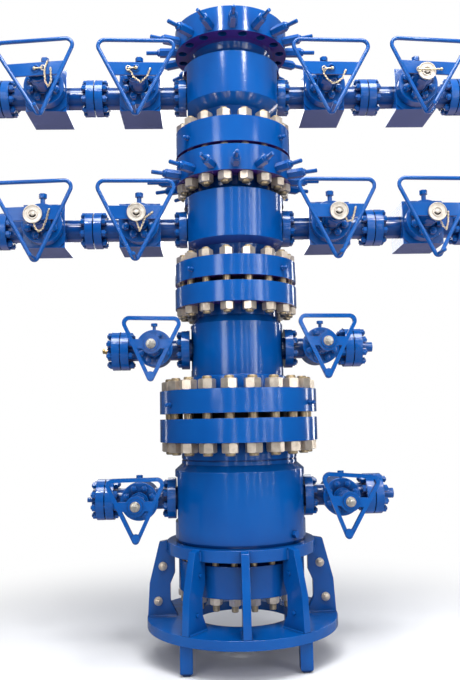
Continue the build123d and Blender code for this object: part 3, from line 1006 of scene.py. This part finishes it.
def chain(name, body, hub):
    """Oval links, every other one turned on edge, along the line the chain hangs in."""
    corners = [Vector((*p, CHAIN_OUT)) for p in CHAINS[name]]
    spots = []
    walked = 0
    for a, b in zip(corners, corners[1:]):
        length = (b - a).length
        while walked < length:
            spots.append((a.lerp(b, walked / length), (b - a).normalized()))
            walked += LINK_PITCH
        walked -= length
    link = swept(oval(*LINK, 12), LINK_WIRE, closed=True, count=6)
    links = []
    for index, (spot, heading) in enumerate(spots):
        turn = heading.to_track_quat("X", "Z").to_matrix().to_4x4()
        roll = Matrix.Rotation(radians(90 * (index % 2) + LINK_ROLL), 4, "X")
        place = Matrix.Translation(spot * MM) @ turn @ roll
        links.append(placed(link, hub @ place))
    eye_spot = shift(*CHAINS[name][-1], EYE_OUT)
    links.append(placed(turned(EYE, 14), hub @ eye_spot))
    piece(name + "_chain", body, *CHAINED, links)


# The object

finish_frame()
joint_bolting("lower_joint", JOINTS["lower"], "lower_joint_nuts")
joint_bolting("middle_joint", JOINTS["middle"], "middle_joint_nuts")
joint_bolting("upper_joint", JOINTS["upper"], "upper_joint_nuts")
connector_bolting()
lock_screws("middle_lock_screws")
lock_screws("top_lock_screws")
port_fittings()
bleed_fitting()
rib_bolting()
rib_welds()

for joint in frame["joints"]:
    wheel_name = joint["name"].removesuffix("_spindle")
    row_name, side_name, position = wheel_name.split("_")
    hub_x, hub_y, hub_z = joint["pos_m"]
    wheel_body = joint["child"]
    side_sign = -1 if side_name == "left" else 1
    ends_line = position == LINE_ENDS[row_name]
    valve_bolting(row_name, ROW_VALVES[row_name], hub_x, hub_z, wheel_name, side_sign, ends_line)
    if wheel_name in REST_TURNS:
        tube_wheel(wheel_name, wheel_body, hub_x, hub_z, -hub_y)
    else:
        cast_wheel_nut(wheel_name, wheel_body, hub_x, hub_z, -hub_y)
    hub_frame = facing(hub_x, hub_z, -hub_y)
    if wheel_name in WASHERS:
        locking_washer(wheel_name, wheel_body, hub_frame)
    if wheel_name in PINS:
        locking_pin(wheel_name, wheel_body, hub_frame)
    if wheel_name in CHAINS:
        chain(wheel_name, wheel_body, hub_frame)


# Floor, light and camera

FLOOR_CORNERS = ((-40, -40, 0), (40, -40, 0), (40, 60, 0), (-40, 60, 0))

floor_mesh = bpy.data.meshes.new("floor")
floor_mesh.from_pydata(FLOOR_CORNERS, [], [(0, 1, 2, 3)])
floor = bpy.data.objects.new("floor", floor_mesh)
bpy.context.scene.collection.objects.link(floor)


def pale_floor():
    """Pale matt floor that fades to the white backdrop away from the object."""
    material, tree, output = new_material("pale_floor")
    light = add(tree, "ShaderNodeLightPath")
    seen = light.outputs["Is Camera Ray"]
    place = add(tree, "ShaderNodeNewGeometry").outputs["Position"]
    distance = add(tree, "ShaderNodeVectorMath", {"operation": "LENGTH"}, {0: place})
    fade = add(
        tree,
        "ShaderNodeMapRange",
        {"From Min": 0.9, "From Max": 3.0, "interpolation_type": "SMOOTHSTEP"},
        {"Value": distance.outputs["Value"]},
    )
    share = add(
        tree,
        "ShaderNodeMath",
        {"operation": "MULTIPLY"},
        {0: fade.outputs["Result"], 1: seen},
    )
    # Darker in reflections, so that the enamel's undersides keep their depth
    tone = add(
        tree,
        "ShaderNodeMix",
        {"data_type": "RGBA", "A": linear("#dcdde0"), "B": linear("#8d9098")},
        {"Factor": light.outputs["Is Glossy Ray"]},
    )
    ground = add(tree, "ShaderNodeBsdfDiffuse", {}, {"Color": tone.outputs["Result"]})
    white = add(tree, "ShaderNodeEmission", {"Color": (1, 1, 1, 1), "Strength": 1.0})
    blend = add(
        tree,
        "ShaderNodeMixShader",
        {},
        {0: share.outputs[0], 1: ground.outputs["BSDF"], 2: white.outputs["Emission"]},
    )
    tree.links.new(blend.outputs["Shader"], output.inputs["Surface"])
    return material


floor_mesh.materials.append(pale_floor())


def studio_world():
    """White behind the object and even soft light all round it. In reflections the walls are dim
    and the ceiling is bright, so that the gloss shows lamps and ceiling and not a veil."""
    world = bpy.data.worlds.new("studio")
    world.use_nodes = True
    tree = world.node_tree
    tree.nodes.clear()
    seen = add(tree, "ShaderNodeLightPath")
    heading = add(tree, "ShaderNodeTexCoord").outputs["Generated"]
    height = add(tree, "ShaderNodeSeparateXYZ", {}, {0: heading}).outputs["Z"]
    ceiling = add(
        tree,
        "ShaderNodeMapRange",
        {"From Min": 0.15, "From Max": 0.95, "To Min": 0.16, "To Max": 0.9},
        {"Value": height},
    )
    room = add(tree, "ShaderNodeBackground", {"Color": linear("#e6eaf0"), "Strength": 0.27})
    mirrored = add(
        tree,
        "ShaderNodeBackground",
        {"Color": linear("#dfe5ee")},
        {"Strength": ceiling.outputs["Result"]},
    )
    backdrop = add(tree, "ShaderNodeBackground", {"Color": (1, 1, 1, 1), "Strength": 1.0})
    lit = add(
        tree,
        "ShaderNodeMixShader",
        {},
        {
            0: seen.outputs["Is Glossy Ray"],
            1: room.outputs["Background"],
            2: mirrored.outputs["Background"],
        },
    )
    mixed = add(
        tree,
        "ShaderNodeMixShader",
        {},
        {
            0: seen.outputs["Is Camera Ray"],
            1: lit.outputs["Shader"],
            2: backdrop.outputs["Background"],
        },
    )
    sky = tree.nodes.new("ShaderNodeOutputWorld")
    tree.links.new(mixed.outputs["Shader"], sky.inputs["Surface"])
    return world


bpy.context.scene.world = studio_world()


def lamp(name, place, target, width, height, power):
    """A rectangular lamp that looks at a target, in metres and watts."""
    light = bpy.data.lights.new(name, "AREA")
    light.shape = "RECTANGLE"
    light.size = width
    light.size_y = height
    light.energy = power
    holder = bpy.data.objects.new(name, light)
    heading = Vector(target) - Vector(place)
    holder.matrix_world = (
        Matrix.Translation(place) @ heading.to_track_quat("-Z", "Y").to_matrix().to_4x4()
    )
    bpy.context.scene.collection.objects.link(holder)


# Soft lamps, and two small bright ones up under the roof, which put the sharp points of light on
# nuts and edges: name, place, target, width, height and power
LAMPS = (
    ("overhead", (0.2, -2.6, 7.0), (0, 0, 1.8), 4.0, 2.4, 520),
    ("front_left", (-3.4, -5.2, 3.4), (0, 0, 1.9), 1.2, 3.6, 70),
    ("front_right", (4.2, -4.6, 3.2), (0, 0, 1.9), 1.0, 3.6, 55),
    ("back", (0.0, 5.0, 4.5), (0, 0, 1.8), 4.0, 3.0, 130),
    ("point_left", (-1.8, -4.6, 6.0), (0, 0, 2.0), 0.3, 0.3, 42),
    ("point_right", (2.3, -4.4, 5.8), (0, 0, 2.0), 0.3, 0.3, 42),
)
for settings in LAMPS:
    lamp(*settings)

# Narrow upright lamps, as tube lights stand round a shop, each a bright streak down every round
# face: distance, height, length and target in metres, then turn from the front, width and power
STRIP_DISTANCE = 5.2
STRIP_HEIGHT = 2.4
STRIP_LENGTH = 3.8
STRIP_TARGET = (0, 0, 1.8)
STRIPS = (
    (-128, 0.12, 14),
    (-26, 0.06, 9),
    (-8, 0.05, 8),
    (10, 0.06, 11),
    (22, 0.05, 9),
    (33, 0.08, 14),
    (44, 0.05, 9),
    (56, 0.07, 12),
    (112, 0.16, 40),
    (134, 0.2, 46),
)
for number, (turn, width, power) in enumerate(STRIPS):
    angle = radians(turn)
    spot = (STRIP_DISTANCE * sin(angle), -STRIP_DISTANCE * cos(angle), STRIP_HEIGHT)
    lamp(f"strip_{number}", spot, STRIP_TARGET, width, STRIP_LENGTH, power)

camera_data = bpy.data.cameras.new("camera")
camera_data.sensor_width = CAMERA_SENSOR
camera_data.sensor_height = CAMERA_SENSOR
camera_data.lens = CAMERA_LENS
camera = bpy.data.objects.new("camera", camera_data)
camera.matrix_world = (
    Matrix.Translation(CAMERA_PLACE)
    @ Matrix.Rotation(radians(-CAMERA_TURN), 4, "Z")
    @ Matrix.Rotation(radians(90 + CAMERA_LIFT), 4, "X")
    @ Matrix.Rotation(radians(CAMERA_ROLL), 4, "Z")
)
bpy.context.scene.collection.objects.link(camera)
bpy.context.scene.camera = camera
bpy.context.scene.view_settings.view_transform = "Standard"
